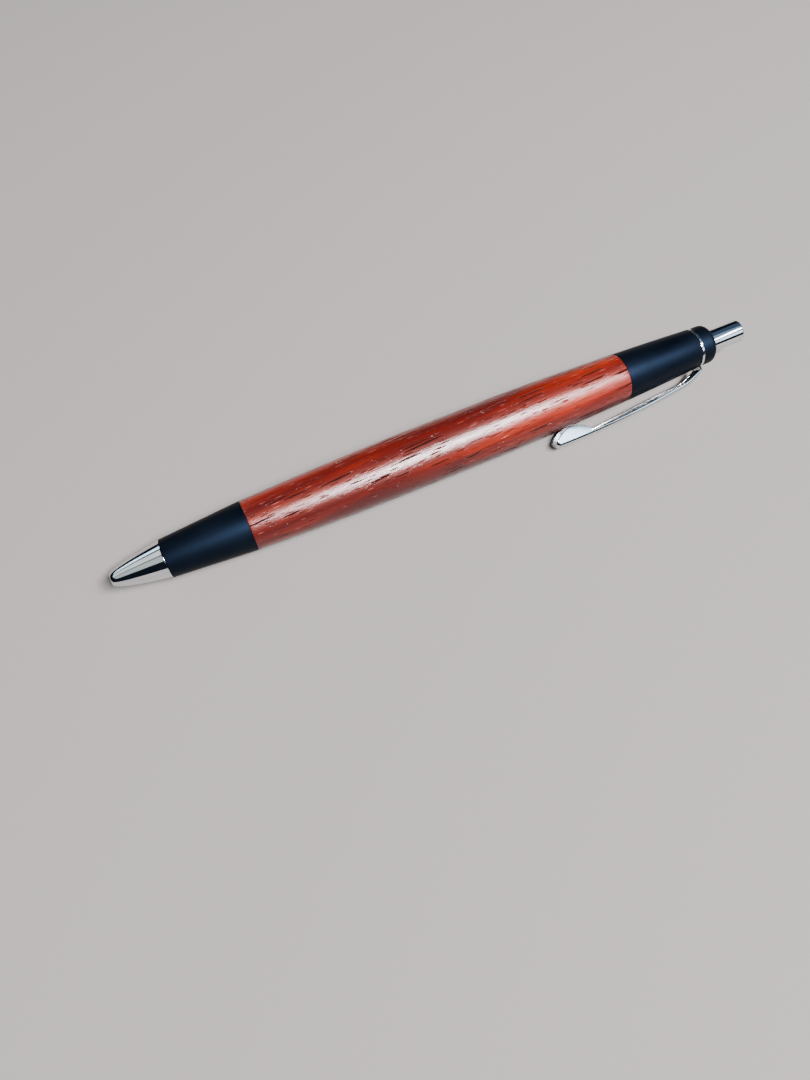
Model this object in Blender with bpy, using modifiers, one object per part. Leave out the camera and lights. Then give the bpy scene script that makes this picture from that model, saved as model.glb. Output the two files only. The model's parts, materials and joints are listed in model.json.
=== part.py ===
"""Retractable rollerball pen: a wooden sleeve between two black shells, a plated nose, clip and button,
and the refill, spring and click mechanism inside.

The pen lies on a table along X, tip towards -X and button towards +X, and it has rolled until its clip
touches the table. Lengths below are millimetres. A station is a distance along the pen from its tip.
Every turned piece is drawn as (radius, station) points, down its outer side from the button end.
"""

import math

import bmesh
import bpy
from mathutils import Matrix, Vector

MM = 0.001

# Driving dimensions
PEN_LENGTH = 136.8
SLEEVE_RADIUS = 5.8
SLEEVE_WIDEST = (63.0, 79.0)  # the stations between which the sleeve is straight
STROKE = 6.5

# Outside: the stations of the joint lines, and the radii there
NOSE_END = 10.3
COLLAR_END = 26.5
SLEEVE_END = 107.4
SHELL_END = 124.95
CAP_END = 129.0
MOUTH_RADIUS = 1.0
NOSE_RADIUS = 3.6
COLLAR_FRONT_RADIUS = 3.78
COLLAR_RADIUS = 4.98
SLEEVE_REAR_RADIUS = 5.05
SHELL_REAR_RADIUS = 4.15
CAP_RADIUS = 4.06
BUTTON_RADIUS = 2.4

SEAM = 0.05  # gap between pieces that meet
EDGE = 0.12  # chamfer on an outer edge
OUTER_STEPS = 40
INNER_STEPS = 24

# Nose: its bore, and its spigot with the thread
POINT_HOLE = 0.78
POINT_HOLE_END = 2.0
POINT_PASSAGE = 1.35
POINT_PASSAGE_START = 3.2
SPRING_BORE = 2.35
THREAD_RADIUS = 2.98
THREAD_DEPTH = 0.26
THREAD_PITCH = 0.75
THREAD_TURNS = 6
SPIGOT_END = 16.4

# Refill
BALL_RADIUS = 0.35
BALL_STATION = 2.75
POINT_STEP = 9.6
POINT_END = 16.4
SHOULDER = 24.0
TUBE_START = 26.5
TUBE_RADIUS = 2.1
TUBE_BORE = 1.6
TUBE_END = 108.0
REFILL_END = 110.8

# Spring
SPRING_SEAT = 6.0
SPRING_RADIUS = 1.95
WIRE_RADIUS = 0.18
SPRING_TURNS = 10
CLOSED_TURNS = 1.25

# Brass tube and bushes, and the bores that they sit in
LINER_BORE = 3.6
LINER_RADIUS = 3.95
LINER_START = 27.0
LINER_END = 106.8
PASSAGE = 2.65
NUT_END = 17.0
COLLAR_STEP = 19.8
COLLAR_SOCKET = 3.35
FRONT_BUSH_START = 20.0
FRONT_BUSH_END = 33.0
FRONT_BUSH_RADIUS = 3.3
REAR_BUSH_START = 100.6
REAR_BUSH_END = 112.5
REAR_BUSH_BORE = 2.9
GUIDE_SOCKET = 3.4
GUIDE_SOCKET_START = 108.3
SHELL_SOCKET = 4.05
SHELL_BEND = (4.64, 116.2)  # the radius and station at which the rear shell's taper gets steeper
SPIGOT_RADIUS = 3.35

# Click mechanism
GUIDE_START = 108.6
GUIDE_END = 122.1
GUIDE_RADIUS = 3.33
GUIDE_BORE = 2.85
RIB_START = 110.0
RIB_END = 119.5
RIB_BORE = 2.35
RIB_WIDTH = 1.7
CAM_RADIUS = 2.15
FIN_RADIUS = 2.75
ROTOR_FRONT = REFILL_END + 2 * SEAM
ROTOR_REAR = 116.4
CAM_FRONT = 116.7
CAM_REAR = 122.0
FIN_COUNT = 4
ROTOR_TURN = 22.5  # degrees that the rotor turns while the button is pressed
TOOTH_DEPTH = 0.7
TOOTH_WIDTH = 1.4

# Clip: its outer line is a parabola that is furthest out at the pad
SHEET = 0.45
CLIP_HALF_WIDTH = 1.7
CLIP_CORNER = 0.9
PAD_STATION = 93.5
PAD_REACH = 8.86
ARM_BOW = 0.00237
ELBOW = 121.6
PAD_TIP = 89.3
EAR_PEAK = 93.6
EAR_HEIGHT = 3.4
EAR_BOW = 0.11
EAR_END = 97.55
FLANGE_DEPTH = 1.0
FLANGE_SWELL = 0.45
FLANGE_FALL = 0.45
RING_START = SHELL_END + SEAM
RING_END = RING_START + 0.5
RING_RADIUS = 4.25
TONGUE_REACH = 4.45
ROOT_REACH = TONGUE_REACH + SEAM
ROOT_CORNER = 5.02

# The pen lies on a flat of its faceted sleeve, and rolls until the rounded edge of the clip's pad is as low.
AXIS_HEIGHT = SLEEVE_RADIUS * math.cos(math.pi / OUTER_STEPS)
CORNER_REACH = PAD_REACH - CLIP_CORNER
CORNER_OFFSET = CLIP_HALF_WIDTH - CLIP_CORNER
CLIP_ROLL = math.asin((AXIS_HEIGHT - CLIP_CORNER) / math.hypot(CORNER_REACH, CORNER_OFFSET)) - math.atan2(
    CORNER_OFFSET, CORNER_REACH
)
CLIP_OVERHANG = CORNER_REACH * math.cos(CLIP_ROLL) + CORNER_OFFSET * math.sin(CLIP_ROLL) + CLIP_CORNER
AXIS_SIDE = (CLIP_OVERHANG - SLEEVE_RADIUS) / 2


def clear_scene():
    for obj in list(bpy.data.objects):
        bpy.data.objects.remove(obj, do_unlink=True)


def new_collection(name):
    collection = bpy.data.collections.new(name)
    bpy.context.scene.collection.children.link(collection)
    return collection


def new_empty(name, parent=None, matrix=Matrix()):
    """An empty that carries a group of pieces: the pen's axis, or the axis of a joint."""
    empty = bpy.data.objects.new(name, None)
    empty.empty_display_size = 3 * MM
    PEN.objects.link(empty)
    empty.parent = parent
    empty.matrix_local = matrix
    return empty


def new_material(name, colour, roughness, metallic=0.0, transmission=0.0):
    material = bpy.data.materials.new(name)
    material.use_nodes = True
    shader = material.node_tree.nodes["Principled BSDF"]
    shader.inputs["Base Color"].default_value = (*colour, 1.0)
    shader.inputs["Roughness"].default_value = roughness
    shader.inputs["Metallic"].default_value = metallic
    shader.inputs["Transmission Weight"].default_value = transmission
    return material


def place(obj, parent, material=None, collection=None):
    (collection or PEN).objects.link(obj)
    obj.parent = parent
    if material:
        obj.data.materials.append(material)
    return obj


def shade(obj):
    """Replaces an object's mesh by what its modifiers make of it, smooth but for its sharp edges."""
    bpy.context.view_layer.update()
    graph = bpy.context.evaluated_depsgraph_get()
    mesh = bpy.data.meshes.new_from_object(obj.evaluated_get(graph))
    obj.modifiers.clear()
    obj.data = mesh
    mesh.shade_smooth()
    mesh.set_sharp_from_angle(angle=math.radians(32))
    return obj


def turned(name, parent, material, outer, bore=(), steps=INNER_STEPS, collection=None):
    """A turned piece about the parent's Z. Without a bore, the outer line starts and ends on the axis."""
    profile = [*outer, *bore]
    mesh = bpy.data.meshes.new(name)
    edges = [(i, i + 1) for i in range(len(profile) - 1)]
    if bore:
        edges.append((len(profile) - 1, 0))
    mesh.from_pydata([(r * MM, 0.0, z * MM) for r, z in profile], edges, [])
    obj = place(bpy.data.objects.new(name, mesh), parent, material, collection)
    screw = obj.modifiers.new("turn", "SCREW")
    screw.steps = steps
    screw.render_steps = steps
    screw.use_merge_vertices = True
    screw.merge_threshold = 1e-6
    screw.use_normal_calculate = False
    # The flats between the facets face the table, which the pen rests on.
    obj.rotation_euler.z = math.pi / steps
    return shade(obj)


def cutter(obj):
    obj.hide_render = True
    obj.display_type = "WIRE"
    return obj


def combine(obj, other, operation):
    """Joins another solid to this one, or cuts it away, and leaves the other in the cutters' collection."""
    boolean = obj.modifiers.new(operation.lower(), "BOOLEAN")
    boolean.operation = operation
    boolean.solver = "EXACT"
    boolean.object = cutter(other)


def plate(name, parent, outline, near, far, turn):
    """An outline of (sideways, station) points, from radius near to radius far, turned about the axis."""
    curve = bpy.data.curves.new(name, "CURVE")
    curve.dimensions = "2D"
    curve.fill_mode = "BOTH"
    curve.extrude = (far - near) / 2 * MM
    spline = curve.splines.new("POLY")
    spline.points.add(len(outline) - 1)
    spline.use_cyclic_u = True
    for point, (side, station) in zip(spline.points, outline):
        point.co = (side * MM, station * MM, 0.0, 1.0)
    flat = place(bpy.data.objects.new(name + "_outline", curve), parent, collection=CUTTERS)
    bpy.context.view_layer.update()
    mesh = bpy.data.meshes.new_from_object(flat.evaluated_get(bpy.context.evaluated_depsgraph_get()))
    bpy.data.objects.remove(flat)
    sideways, along, out = Vector((0, 1, 0)), Vector((0, 0, 1)), Vector((1, 0, 0))
    stand = Matrix((sideways, along, out)).transposed().to_4x4()
    mesh.transform(Matrix.Translation(((near + far) / 2 * MM, 0, 0)) @ stand)
    weld_caps(mesh)
    mesh.transform(Matrix.Rotation(turn, 4, "Z"))
    return place(bpy.data.objects.new(name, mesh), parent, collection=CUTTERS)


def weld_caps(mesh):
    shape = bmesh.new()
    shape.from_mesh(mesh)
    bmesh.ops.remove_doubles(shape, verts=shape.verts, dist=1e-7)
    bmesh.ops.recalc_face_normals(shape, faces=shape.faces)
    shape.to_mesh(mesh)
    shape.free()


def line_between(start, end, count):
    return [start + (end - start) * i / count for i in range(count + 1)]


def nose_radius(station):
    """The nose swells quickly behind its mouth and then ever more slowly."""
    return MOUTH_RADIUS + (NOSE_RADIUS - MOUTH_RADIUS) * (station / NOSE_END) ** 0.62


def sleeve_radius(station):
    """The sleeve is widest a little behind its middle, and falls away more steeply towards the button."""
    front, rear = SLEEVE_WIDEST
    if station < front:
        share = (front - station) / (front - COLLAR_END)
        return SLEEVE_RADIUS - (SLEEVE_RADIUS - COLLAR_RADIUS) * share**1.8
    share = max(0.0, station - rear) / (SLEEVE_END - rear)
    return SLEEVE_RADIUS - (SLEEVE_RADIUS - SLEEVE_REAR_RADIUS) * share**1.5


def build_nose(parent):
    root = THREAD_RADIUS - THREAD_DEPTH
    thread = []
    for turn in range(THREAD_TURNS):
        crest = SPIGOT_END - 0.4 - turn * THREAD_PITCH
        thread += [(THREAD_RADIUS, crest), (root, crest - THREAD_PITCH / 2)]
    cone_stations = [NOSE_END * share**2 for share in line_between(1.0, 0.0, 9)]
    outer = [(root, SPIGOT_END), *thread, (root, NOSE_END), *((nose_radius(s), s) for s in cone_stations)]
    bore = [(POINT_HOLE, 0.0), (POINT_HOLE, POINT_HOLE_END), (POINT_PASSAGE, POINT_PASSAGE_START)]
    bore += [(POINT_PASSAGE, SPRING_SEAT), (SPRING_BORE, SPRING_SEAT), (SPRING_BORE, SPIGOT_END)]
    turned("nose_cone", parent, PLATING, outer, bore, OUTER_STEPS)


def build_collar(parent):
    front, rear = NOSE_END + SEAM, COLLAR_END
    outer = [
        (COLLAR_RADIUS - EDGE, rear),
        (COLLAR_RADIUS, rear - EDGE),
        (COLLAR_FRONT_RADIUS, front + EDGE),
        (COLLAR_FRONT_RADIUS - EDGE, front),
    ]
    nut = THREAD_RADIUS + 0.07
    bore = [(nut, front), (nut, NUT_END), (PASSAGE, NUT_END), (PASSAGE, COLLAR_STEP)]
    bore += [(COLLAR_SOCKET, COLLAR_STEP), (COLLAR_SOCKET, rear)]
    turned("front_collar", parent, BLACK, outer, bore, OUTER_STEPS)


def build_sleeve(parent):
    front, rear = COLLAR_END + SEAM, SLEEVE_END - SEAM
    stations = line_between(rear, SLEEVE_WIDEST[1], 6) + line_between(SLEEVE_WIDEST[0], front, 8)
    outer = [(sleeve_radius(s), s) for s in stations]
    bore = [(LINER_RADIUS + SEAM, front), (LINER_RADIUS + SEAM, rear)]
    turned("wood_sleeve", parent, WOOD, outer, bore, OUTER_STEPS)


def build_liner(parent):
    outer = [(LINER_RADIUS, LINER_END), (LINER_RADIUS, LINER_START)]
    bore = [(LINER_BORE, LINER_START), (LINER_BORE, LINER_END)]
    turned("inner_liner", parent, BRASS, outer, bore)


def build_bushes(parent):
    fit = LINER_BORE - SEAM
    outer = [(fit, FRONT_BUSH_END), (fit, COLLAR_END)]
    outer += [(FRONT_BUSH_RADIUS, COLLAR_END), (FRONT_BUSH_RADIUS, FRONT_BUSH_START)]
    bore = [(PASSAGE, FRONT_BUSH_START), (PASSAGE, FRONT_BUSH_END)]
    turned("front_bush", parent, BRASS, outer, bore)
    outer = [(LINER_RADIUS, REAR_BUSH_END), (LINER_RADIUS, SLEEVE_END)]
    outer += [(fit, SLEEVE_END), (fit, REAR_BUSH_START)]
    bore = [(REAR_BUSH_BORE, REAR_BUSH_START), (REAR_BUSH_BORE, GUIDE_SOCKET_START)]
    bore += [(GUIDE_SOCKET, GUIDE_SOCKET_START), (GUIDE_SOCKET, REAR_BUSH_END)]
    turned("rear_bush", parent, BRASS, outer, bore)


def build_shell(parent):
    outer = [
        (SHELL_REAR_RADIUS - EDGE, SHELL_END),
        (SHELL_REAR_RADIUS, SHELL_END - EDGE),
        SHELL_BEND,
        (SLEEVE_REAR_RADIUS - 0.02, SLEEVE_END + EDGE),
        (SLEEVE_REAR_RADIUS - EDGE, SLEEVE_END),
    ]
    step = REAR_BUSH_END + 0.1
    bore = [(SHELL_SOCKET, SLEEVE_END), (SHELL_SOCKET, step), (GUIDE_SOCKET, step), (GUIDE_SOCKET, SHELL_END)]
    turned("rear_shell", parent, BLACK, outer, bore, OUTER_STEPS)


def build_cap(parent):
    """The end cap: its spigot holds the clip's ring against the rear shell and stops the plunger."""
    round_over = 1.1
    face_radius = CAP_RADIUS - round_over
    angles = line_between(0.0, math.pi / 2, 5)
    edge = [
        (face_radius + round_over * math.sin(a), CAP_END - round_over * (1 - math.cos(a)))
        for a in angles
    ]
    shoulder, front = RING_END + SEAM, CAM_REAR + 0.2
    outer = [*edge, (CAP_RADIUS, shoulder), (SPIGOT_RADIUS, shoulder), (SPIGOT_RADIUS, front)]
    bore = [(BUTTON_RADIUS + 0.1, front), (BUTTON_RADIUS + 0.1, CAP_END)]
    turned("end_cap", parent, BLACK, outer, bore, OUTER_STEPS)


def build_button(parent):
    front, socket, socket_end = 126.2, 1.7, 134.5
    outer = [
        (0.0, PEN_LENGTH),
        (BUTTON_RADIUS - 0.3, PEN_LENGTH),
        (BUTTON_RADIUS - 0.09, PEN_LENGTH - 0.09),
        (BUTTON_RADIUS, PEN_LENGTH - 0.3),
        (BUTTON_RADIUS, front),
        (socket, front),
        (socket, socket_end),
        (0.0, socket_end),
    ]
    turned("push_button", parent, PLATING, outer, steps=OUTER_STEPS)


def notch(parent, name, face, depth, turn):
    """A V across the pen, which cuts two opposite notches into a crown of teeth. It opens past the face."""
    half = TOOTH_WIDTH / 2
    open_end = face - depth
    widened = half * 2
    outline = [(0.0, face + depth), (-widened, open_end), (widened, open_end)]
    return plate(name, parent, outline, -3.5, 3.5, turn)


def add_fins(obj, parent, start, end, width, ramp, turn):
    """Fins that slide in the guide's slots. One end of each is a ramp."""
    half = width / 2
    outline = [(-half, start), (half, start), (half, end), (-half, end - ramp)]
    for i in range(FIN_COUNT):
        angle = turn + i * 2 * math.pi / FIN_COUNT
        fin = plate(f"{obj.name}_fin_{i}", parent, outline, CAM_RADIUS - 0.4, FIN_RADIUS, angle)
        combine(obj, fin, "UNION")


def add_teeth(obj, parent, face, depth):
    """A crown of eight teeth, two for each notch cutter."""
    for i in range(FIN_COUNT):
        angle = (i + 0.5) * math.pi / FIN_COUNT
        combine(obj, notch(parent, f"{obj.name}_notch_{i}", face, depth, angle), "DIFFERENCE")


def build_guide(parent):
    """The fixed guide: a tube with four inner ribs. The ribs' front ends are ramps that turn the rotor."""
    outer = [(GUIDE_RADIUS, GUIDE_END), (GUIDE_RADIUS, GUIDE_START)]
    bore = [(GUIDE_BORE, GUIDE_START), (GUIDE_BORE, GUIDE_END)]
    guide = turned("cam_guide", parent, POLYMER, outer, bore)
    half = RIB_WIDTH / 2
    outline = [(-half, RIB_START + 0.9), (0.0, RIB_START), (0.0, RIB_START + 0.6), (half, RIB_START)]
    outline += [(half, RIB_END), (-half, RIB_END)]
    for i in range(FIN_COUNT):
        angle = (i + 0.5) * 2 * math.pi / FIN_COUNT
        rib = plate(f"guide_rib_{i}", parent, outline, RIB_BORE, GUIDE_BORE + 0.2, angle)
        combine(guide, rib, "UNION")
    shade(guide)


def build_rotor(parent):
    """The rotor starts half its turn back from the middle of its slots."""
    outer = [(0.0, ROTOR_REAR), (CAM_RADIUS, ROTOR_REAR), (CAM_RADIUS, ROTOR_FRONT + 0.3)]
    outer += [(CAM_RADIUS - 0.3, ROTOR_FRONT), (0.0, ROTOR_FRONT)]
    rotor = turned("rotor_cam", parent, POLYMER, outer)
    add_teeth(rotor, parent, ROTOR_REAR, -TOOTH_DEPTH)
    stem_outline = [(0.0, 121.0), (0.8, 121.0), (1.0, 120.8), (1.0, 114.0), (0.0, 114.0)]
    stem = turned("rotor_stem", parent, POLYMER, stem_outline, collection=CUTTERS)
    combine(rotor, stem, "UNION")
    add_fins(rotor, parent, 113.8, 116.3, 0.9, 0.6, -math.radians(ROTOR_TURN / 2))
    shade(rotor)


def build_thrust_cam(parent):
    outer = [(0.0, 133.5), (1.62, 133.5), (1.62, CAM_REAR), (CAM_RADIUS, CAM_REAR), (CAM_RADIUS, CAM_FRONT)]
    outer += [(1.15, CAM_FRONT), (1.15, 123.0), (0.0, 123.0)]
    cam = turned("thrust_cam", parent, POLYMER, outer)
    add_teeth(cam, parent, CAM_FRONT, TOOTH_DEPTH)
    add_fins(cam, parent, 117.5, CAM_REAR, 1.2, 0.0, 0.0)
    shade(cam)


def build_point(parent):
    """The steel point. Its rim closes in just in front of the ball's middle, and holds the ball."""
    rim = BALL_STATION - 0.12
    seat = BALL_STATION + BALL_RADIUS + 0.05
    outer = [(1.15, POINT_END), (1.15, POINT_STEP), (0.66, POINT_STEP - 0.2), (0.66, 4.2), (0.43, rim)]
    bore = [(0.346, rim), (0.38, rim + 0.1), (0.38, seat), (0.15, seat), (0.15, POINT_END)]
    turned("writing_point", parent, STEEL, outer, bore)


def build_refill(parent):
    """The rest of the refill, with its ink. The tube and the plug are open, so that air can follow it."""
    holder_bore = 1.2

    front, end = 13.0, 31.0
    outer = [(1.55, end), (1.55, TUBE_START), (2.2, TUBE_START), (2.2, SHOULDER), (1.6, SHOULDER)]
    outer += [(1.6, front + 0.3), (1.35, front)]
    bore = [(holder_bore, front), (holder_bore, POINT_END + 0.1), (0.5, POINT_END + 0.1), (0.5, end)]
    turned("point_holder", parent, WHITE, outer, bore)

    outer = [(TUBE_RADIUS, TUBE_END), (TUBE_RADIUS, TUBE_START + SEAM)]
    bore = [(TUBE_BORE, TUBE_START + SEAM), (TUBE_BORE, TUBE_END)]
    turned("refill_tube", parent, CLEAR, outer, bore)

    column = TUBE_BORE - SEAM
    outer = [(0.0, 80.0), (column, 80.0), (column, end + 0.2), (0.0, end + 0.2)]
    turned("refill_ink", parent, INK, outer)
    outer = [(0.0, 83.4), (0.9, 83.6), (column, 84.2), (column, 80.1), (0.0, 80.1)]
    turned("ink_follower", parent, GREASE, outer)

    outer = [(TUBE_RADIUS - 0.2, REFILL_END), (TUBE_RADIUS, REFILL_END - 0.2), (TUBE_RADIUS, TUBE_END + SEAM)]
    outer += [(column, TUBE_END + SEAM), (column, 104.2), (column - 0.2, 104.0)]
    turned("refill_end_plug", parent, WHITE, outer, [(0.4, 104.0), (0.4, REFILL_END)])


def build_ball(parent):
    """The parent is at the ball's centre."""
    mesh = bpy.data.meshes.new("writing_ball")
    shape = bmesh.new()
    bmesh.ops.create_uvsphere(shape, u_segments=16, v_segments=10, radius=BALL_RADIUS * MM)
    shape.to_mesh(mesh)
    shape.free()
    shade(place(bpy.data.objects.new("writing_ball", mesh), parent, CARBIDE))


def build_spring(parent):
    """A wire with a closed turn and a quarter at each end, and open turns evenly between them."""
    points_a_turn = 14
    start = SPRING_SEAT + SEAM + WIRE_RADIUS
    end = SHOULDER - SEAM - WIRE_RADIUS
    closed_pitch = 2 * WIRE_RADIUS + 0.12
    open_pitch = (end - start - 2 * CLOSED_TURNS * closed_pitch) / SPRING_TURNS
    total = SPRING_TURNS + 2 * CLOSED_TURNS

    def station(turn):
        first = min(turn, CLOSED_TURNS)
        last = max(0.0, turn - CLOSED_TURNS - SPRING_TURNS)
        return start + (first + last) * closed_pitch + (turn - first - last) * open_pitch

    curve = bpy.data.curves.new("return_spring", "CURVE")
    curve.dimensions = "3D"
    curve.bevel_depth = WIRE_RADIUS * MM
    curve.bevel_resolution = 2
    curve.use_fill_caps = True
    count = round(total * points_a_turn)
    spline = curve.splines.new("POLY")
    spline.points.add(count)
    for i, point in enumerate(spline.points):
        turn = total * i / count
        angle = 2 * math.pi * turn
        x, y = SPRING_RADIUS * math.cos(angle), SPRING_RADIUS * math.sin(angle)
        point.co = (x * MM, y * MM, station(turn) * MM, 1.0)
    place(bpy.data.objects.new("return_spring", curve), parent, STEEL)


def build_clip_ring(parent):
    """The clip's ring, with the flat tongue that its arm grows from."""
    outer = [(RING_RADIUS, RING_END), (RING_RADIUS, RING_START)]
    ring = turned("clip_ring", parent, PLATING, outer, [(3.42, RING_START), (3.42, RING_END)], OUTER_STEPS)
    ring.rotation_euler.z = 0.0
    half = CLIP_HALF_WIDTH - 0.1
    outline = [(-half, RING_START), (half, RING_START), (half, RING_END), (-half, RING_END)]
    tongue = plate("clip_tongue", parent, outline, 3.6, TONGUE_REACH, 0.0)
    combine(ring, tongue, "UNION")
    shade(ring)


def arm_reach(station):
    return PAD_REACH - ARM_BOW * (station - PAD_STATION) ** 2


def rounded_corner(before, corner, after, radius, count=5):
    """Points of the arc of this radius that rounds a corner between two straight stretches."""
    corner = Vector(corner)
    back, ahead = (Vector(before) - corner).normalized(), (Vector(after) - corner).normalized()
    half_angle = back.angle(ahead) / 2
    reach = radius / math.tan(half_angle)
    centre = corner + (back + ahead).normalized() * radius / math.sin(half_angle)
    first, last = corner + back * reach - centre, corner + ahead * reach - centre
    sweep = first.angle(last)
    points = []
    for i in range(count + 1):
        t = i / count
        mix = (first * math.sin((1 - t) * sweep) + last * math.sin(t * sweep)) / math.sin(sweep)
        points.append(tuple(centre + mix))
    return points


def clip_line():
    """The clip's outer line as (reach, station): out of the ring, down the neck, then the arm to the pad."""
    root, bend = (ROOT_REACH, RING_END), (ROOT_CORNER, RING_END)
    elbow, beyond = (arm_reach(ELBOW), ELBOW), (arm_reach(117.0), 117.0)
    arm = [(arm_reach(s), s) for s in line_between(118.5, EAR_END + 0.1, 6)]
    ear_stations = (EAR_END, 96.8, 95.8, 94.8, 93.8, 92.8, 91.9, 91.1, 90.4, 89.9, 89.5, PAD_TIP)
    ear = [(arm_reach(s), s) for s in ear_stations]
    neck = [*rounded_corner(root, bend, elbow, 0.7), *rounded_corner(bend, elbow, beyond, 1.6)]
    return [root, *neck, *arm, *ear]


def flange_depth(station):
    """How far the clip's sides stand in from its outer line: most in the arm's middle and at the ears."""
    if station > ELBOW:
        return FLANGE_DEPTH - FLANGE_FALL * (station - ELBOW) / (RING_END - ELBOW)
    if station > EAR_END:
        share = (station - EAR_END) / (ELBOW - EAR_END)
        return FLANGE_DEPTH + FLANGE_SWELL * 4 * share * (1 - share)
    if station > EAR_PEAK:
        return EAR_HEIGHT - EAR_BOW * (station - EAR_PEAK) ** 2
    share = min(1.0, (EAR_PEAK - station) / (EAR_PEAK - PAD_TIP + 0.1))
    return max(SHEET + 0.05, EAR_HEIGHT * (1 - share**2) ** 0.75)


def clip_half_width(station):
    """The pad's end is rounded off in the last stretch, seen from outside."""
    rounding = 0.9
    short = max(0.0, PAD_TIP + rounding - station) / rounding
    return CLIP_HALF_WIDTH - 0.55 * (1 - math.sqrt(1 - 0.9 * short**2))


def channel_section(half_width, depth):
    """A U of sheet metal as (sideways, depth) points: first its outer side, then its inner side."""
    corner = min(CLIP_CORNER, depth)
    inner = max(0.05, corner - SHEET)
    arc = line_between(0.0, math.pi / 2, 3)
    outer = [(half_width - corner + corner * math.cos(a), corner - corner * math.sin(a)) for a in arc]
    wall = half_width - SHEET
    inside = [(wall - inner + inner * math.cos(a), SHEET + inner - inner * math.sin(a)) for a in arc]
    lip = max(depth, SHEET + inner + 0.01)
    right_outer = [(half_width, lip), *outer]
    right_inner = [(wall, lip), *inside]
    left_outer = [(-x, d) for x, d in reversed(right_outer)]
    left_inner = [(-x, d) for x, d in reversed(right_inner)]
    return right_outer + left_outer + left_inner[::-1] + right_inner[::-1]


def build_clip_arm(parent, hinge):
    """A loft of channel sections along the clip's line, square to it, closed at both ends."""
    line = clip_line()
    rings = []
    for i, (reach, station) in enumerate(line):
        before, after = Vector(line[max(i - 1, 0)]), Vector(line[min(i + 1, len(line) - 1)])
        along = (after - before).normalized()
        inward = Vector((along.y, -along.x))
        section = channel_section(clip_half_width(station), flange_depth(station))
        ring = []
        for side, depth in section:
            spot = Vector((reach, station)) + inward * depth - hinge
            ring.append((spot.x * MM, side * MM, spot.y * MM))
        rings.append(ring)
    size = len(rings[0])
    faces = [
        (r * size + k, r * size + (k + 1) % size, (r + 1) * size + (k + 1) % size, (r + 1) * size + k)
        for r in range(len(rings) - 1)
        for k in range(size)
    ]
    half = size // 2
    for first, flip in ((0, False), ((len(rings) - 1) * size, True)):
        for k in range(half - 1):
            quad = (first + k, first + k + 1, first + size - 2 - k, first + size - 1 - k)
            faces.append(quad[::-1] if not flip else quad)
    mesh = bpy.data.meshes.new("clip_arm")
    mesh.from_pydata([v for ring in rings for v in ring], [], faces)
    weld_caps(mesh)
    shade(place(bpy.data.objects.new("clip_arm", mesh), parent, PLATING))


clear_scene()
PEN = new_collection("rollerball_pen")
CUTTERS = new_collection("cutters")
CUTTERS.hide_render = True

PLATING = new_material("chrome_plating", (0.80, 0.81, 0.82), 0.07, 1.0)
BLACK = new_material("matt_black_lacquer", (0.012, 0.014, 0.018), 0.42)
WOOD = new_material("red_stained_wood", (0.42, 0.055, 0.022), 0.32)
BRASS = new_material("brass", (0.72, 0.53, 0.24), 0.3, 1.0)
STEEL = new_material("stainless_steel", (0.62, 0.62, 0.62), 0.22, 1.0)
CARBIDE = new_material("tungsten_carbide", (0.45, 0.46, 0.48), 0.12, 1.0)
POLYMER = new_material("grey_acetal", (0.62, 0.63, 0.64), 0.45)
WHITE = new_material("white_polypropylene", (0.82, 0.82, 0.80), 0.4)
CLEAR = new_material("clear_polypropylene", (0.85, 0.88, 0.90), 0.25, transmission=0.7)
INK = new_material("black_ink", (0.01, 0.01, 0.02), 0.15)
GREASE = new_material("clear_grease", (0.75, 0.72, 0.60), 0.2, transmission=0.5)

AXIS_PLACE = Matrix.Translation((-PEN_LENGTH / 2 * MM, AXIS_SIDE * MM, AXIS_HEIGHT * MM))
AXIS = new_empty("pen_axis", matrix=AXIS_PLACE @ Matrix.Rotation(math.pi / 2, 4, "Y"))
CLIP_PLANE = new_empty("clip_plane", AXIS, Matrix.Rotation(CLIP_ROLL - math.pi / 2, 4, "Z"))
CLIP_HINGE = Vector((TONGUE_REACH, (RING_START + RING_END) / 2))
HINGE_PLACE = Matrix.Translation((CLIP_HINGE.x * MM, 0, CLIP_HINGE.y * MM))
CLIP_JOINT = new_empty("clip_joint", CLIP_PLANE, HINGE_PLACE)
NOSE_JOINT = new_empty("nose_joint", AXIS)
PLUNGER_JOINT = new_empty("plunger_joint", AXIS)
REFILL_JOINT = new_empty("refill_joint", AXIS)
ROTOR_JOINT = new_empty("rotor_joint", REFILL_JOINT)
BALL_JOINT = new_empty("ball_joint", REFILL_JOINT, Matrix.Translation((0, 0, BALL_STATION * MM)))

build_nose(NOSE_JOINT)
build_collar(AXIS)
build_sleeve(AXIS)
build_liner(AXIS)
build_bushes(AXIS)
build_shell(AXIS)
build_cap(AXIS)
build_button(PLUNGER_JOINT)
build_thrust_cam(PLUNGER_JOINT)
build_guide(AXIS)
build_rotor(ROTOR_JOINT)
build_point(REFILL_JOINT)
build_refill(REFILL_JOINT)
build_ball(BALL_JOINT)
build_spring(AXIS)
build_clip_ring(CLIP_PLANE)
build_clip_arm(CLIP_JOINT, CLIP_HINGE)
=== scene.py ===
# %% [markdown]
# # A retractable pen with a wooden sleeve
# This notebook gives a working model of a click pen its looks. The model comes as a frame: solids that
# already have their true sizes and places. Each visible solid is replaced by a finely made surface in the
# same place, and every surface gets the finish of the real piece: lacquered wood, satin black lacquer,
# chrome, brass, steel and plastics.

# %% Load the frame
import json
import math

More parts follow.
